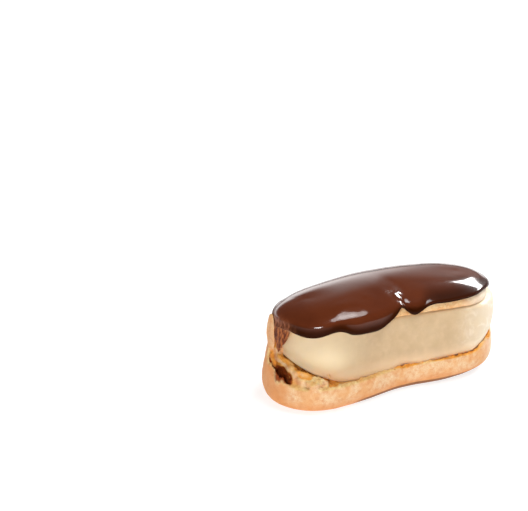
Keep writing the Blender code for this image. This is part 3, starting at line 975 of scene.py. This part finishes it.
def above_edge(points):
    """How high each point lies above the lowest edge of the coat at its place round the outline."""
    along, half = round_the_edge(points)
    count = COAT_EDGE_SLOTS
    slot = np.floor((along / half + 1) / 2 * count).astype(int) % count
    lowest = np.full(count, 1e3)
    np.minimum.at(lowest, slot, points[:, 2])
    middles = ((np.arange(count) + 0.5) / count * 2 - 1) * half
    return points[:, 2] - np.interp(along, middles, lowest, period=2 * half)


def flow_front(points):
    """How far each point lies left of the line where the left flow of chocolate stopped."""
    return np.interp(points[:, 1], FLOW_LINE_Y, FLOW_LINE_X) - points[:, 0]


def coat_relief(points, normals):
    """The swollen front of the left flow, its groove and ridge, the small swells and the rolled lip."""
    left = flow_front(points)
    outer = smoothstep(-0.1, 0.25, normals[:, 2]) + smoothstep(0.3, -0.2, normals[:, 1])
    outer = np.clip(outer, 0, 1) * smoothstep(*COAT_OUTER, points[:, 2])
    front = smoothstep(*FRONT_FROM, points[:, 1])
    rolled = np.sqrt(np.clip(left / FRONT_ROLL, 0, 1)) * np.exp(-np.maximum(left, 0) / FRONT_FADE)
    place, width, depth = FRONT_GROOVE
    lift = FRONT_LIFT * rolled * front - depth * bump(left, place, width) * front
    place, width, height = LOBE_RIDGE
    lift += height * bump(points[:, 0], place, width) * smoothstep(*RIDGE_FROM, points[:, 1])
    for centre, sizes, height in COAT_SWELLS:
        lift += height * near(points, centre, np.array(sizes))
    edge = above_edge(points)
    lip = LIP_ROLL * (bump(edge, *LIP_CREST) - 0.5 * bump(edge, *LIP_GROOVE))
    return lift * outer + lip * smoothstep(-0.5, -0.1, normals[:, 2])


def levelled(mesh, share, rounds):
    """Points with their small unevenness drawn smooth where the share is 1."""
    points = points_of(mesh)
    smooth = np.column_stack([soften(mesh, points[:, axis], rounds) for axis in range(3)])
    return points + (smooth - points) * share[:, None]


def smooth_top(mesh):
    """Draws the top of the coat smooth, and the crease between its two flows more so."""
    top = smoothstep(0.6, 0.9, normals_of(mesh)[:, 2])
    top = top * smoothstep(*COAT_TOP, points_of(mesh)[:, 2])
    move_points(mesh, levelled(mesh, top, TOP_ROUNDS))
    crease = near(points_of(mesh), *CREASE)
    move_points(mesh, levelled(mesh, crease, CREASE_ROUNDS))


def make_chocolate(material):
    mesh = changed(whole_mesh("chocolate_glaze"), "SUBSURF", levels=2)
    smooth_top(mesh)
    points, normals = points_of(mesh), normals_of(mesh)
    points = points + normals * coat_relief(points, normals)[:, None]
    move_points(mesh, points)
    edge = above_edge(points)
    # Painted shade: the down-facing lower band, and the right flow's front low down, drawn darker
    low = smoothstep(*SHADE_EDGE, edge) * smoothstep(0.75, 0.2, normals[:, 2])
    right = smoothstep(*SHADE_RIGHT_FROM, points[:, 0]) * smoothstep(*SHADE_RIGHT, edge)
    right = right * smoothstep(*SHADE_FRONT_FROM, points[:, 1])
    thin = smoothstep(*THIN_FROM, points[:, 0]) * smoothstep(*THIN_BELOW, points[:, 2])
    keep(mesh, "thin", thin)
    keep(mesh, "dull", np.maximum(low, near(points, *CREASE_CREST) * 0.85))
    keep(mesh, "thick", np.maximum(low, right * 0.8))
    return piece("chocolate_coat", mesh, material, "chocolate_glaze")


# Floor, lamps and camera


def make_floor():
    """A wide pale floor that glows a little, so that it reads as white."""
    shape = bmesh.new()
    bmesh.ops.create_grid(shape, x_segments=1, y_segments=1, size=FLOOR_HALF)
    mesh = bpy.data.meshes.new("floor")
    shape.to_mesh(mesh)
    shape.free()
    material, _, shader = blank_material("pale_floor")
    shader.inputs["Base Color"].default_value = FLOOR_GREY
    shader.inputs["Roughness"].default_value = 0.9
    shader.inputs["Specular IOR Level"].default_value = 0.0
    shader.inputs["Emission Color"].default_value = (1, 1, 1, 1)
    shader.inputs["Emission Strength"].default_value = FLOOR_GLOW
    mesh.materials.append(material)
    floor = bpy.data.objects.new("floor", mesh)
    bpy.context.scene.collection.objects.link(floor)


def softbox(name, place, size, power, shape):
    """A flat white lamp at a place, turned to the eclair."""
    lamp = bpy.data.lights.new(name, "AREA")
    lamp.shape = shape
    lamp.size, lamp.size_y = size
    lamp.energy = power
    thing = bpy.data.objects.new(name, lamp)
    bpy.context.scene.collection.objects.link(thing)
    way = Vector(LAMP_TARGET) - Vector(place)
    thing.matrix_world = Matrix.Translation(place) @ way.to_track_quat("-Z", "Y").to_matrix().to_4x4()


def backdrop_light(world):
    """A dim room with a white backdrop low down behind the eclair."""
    tree = world.node_tree
    sky = [n for n in tree.nodes if n.type == "BACKGROUND"][0]
    sky.inputs["Color"].default_value = (1, 1, 1, 1)
    way = tree.nodes.new("ShaderNodeTexCoord")
    split = tree.nodes.new("ShaderNodeSeparateXYZ")
    tree.links.new(way.outputs["Generated"], split.inputs["Vector"])
    behind = ramp(tree, split.outputs["Y"], 0.45, 0.9)
    low = ramp(tree, split.outputs["Z"], 0.24, 0.5, 1.0, 0.0)
    low = math_node(tree, "MULTIPLY", low, ramp(tree, split.outputs["Z"], -0.05, 0.2, 0.18, 1.0))
    aside = ramp(tree, split.outputs["X"], 0.25, 0.6, 1.0, 0.25)
    share = math_node(tree, "MULTIPLY", math_node(tree, "MULTIPLY", behind, low), aside)
    strength = ramp(tree, share, 0.0, 1.0, SKY_LIGHT, HORIZON_LIGHT)
    tree.links.new(strength, sky.inputs["Strength"])


def make_studio():
    world = bpy.data.worlds.new("studio")
    bpy.context.scene.world = world
    world.use_nodes = True
    backdrop_light(world)
    for lamp in LAMPS:
        softbox(*lamp)
    bpy.context.scene.view_settings.view_transform = "Standard"


def make_camera():
    lens = bpy.data.cameras.new("camera")
    lens.sensor_width = CAMERA_SENSOR
    lens.lens = CAMERA_LENS
    lens.clip_start = 0.01
    camera = bpy.data.objects.new("camera", lens)
    bpy.context.scene.collection.objects.link(camera)
    forward = Vector(CAMERA_WAY).normalized()
    right = forward.cross(Vector((0, 0, 1))).normalized()
    up = right.cross(forward)
    turned = Matrix((right, up, -forward)).transposed().to_4x4()
    camera.matrix_world = Matrix.Translation(CAMERA_PLACE) @ turned
    bpy.context.scene.camera = camera


# Everything put together

mottle = bake_mottle()
pores = crumb_pores()
crust = baked_crust(mottle, pores)
make_base(crust)
make_cream(custard_cream())
make_lid(crust)
make_chocolate(poured_chocolate())
make_floor()
make_studio()
make_camera()
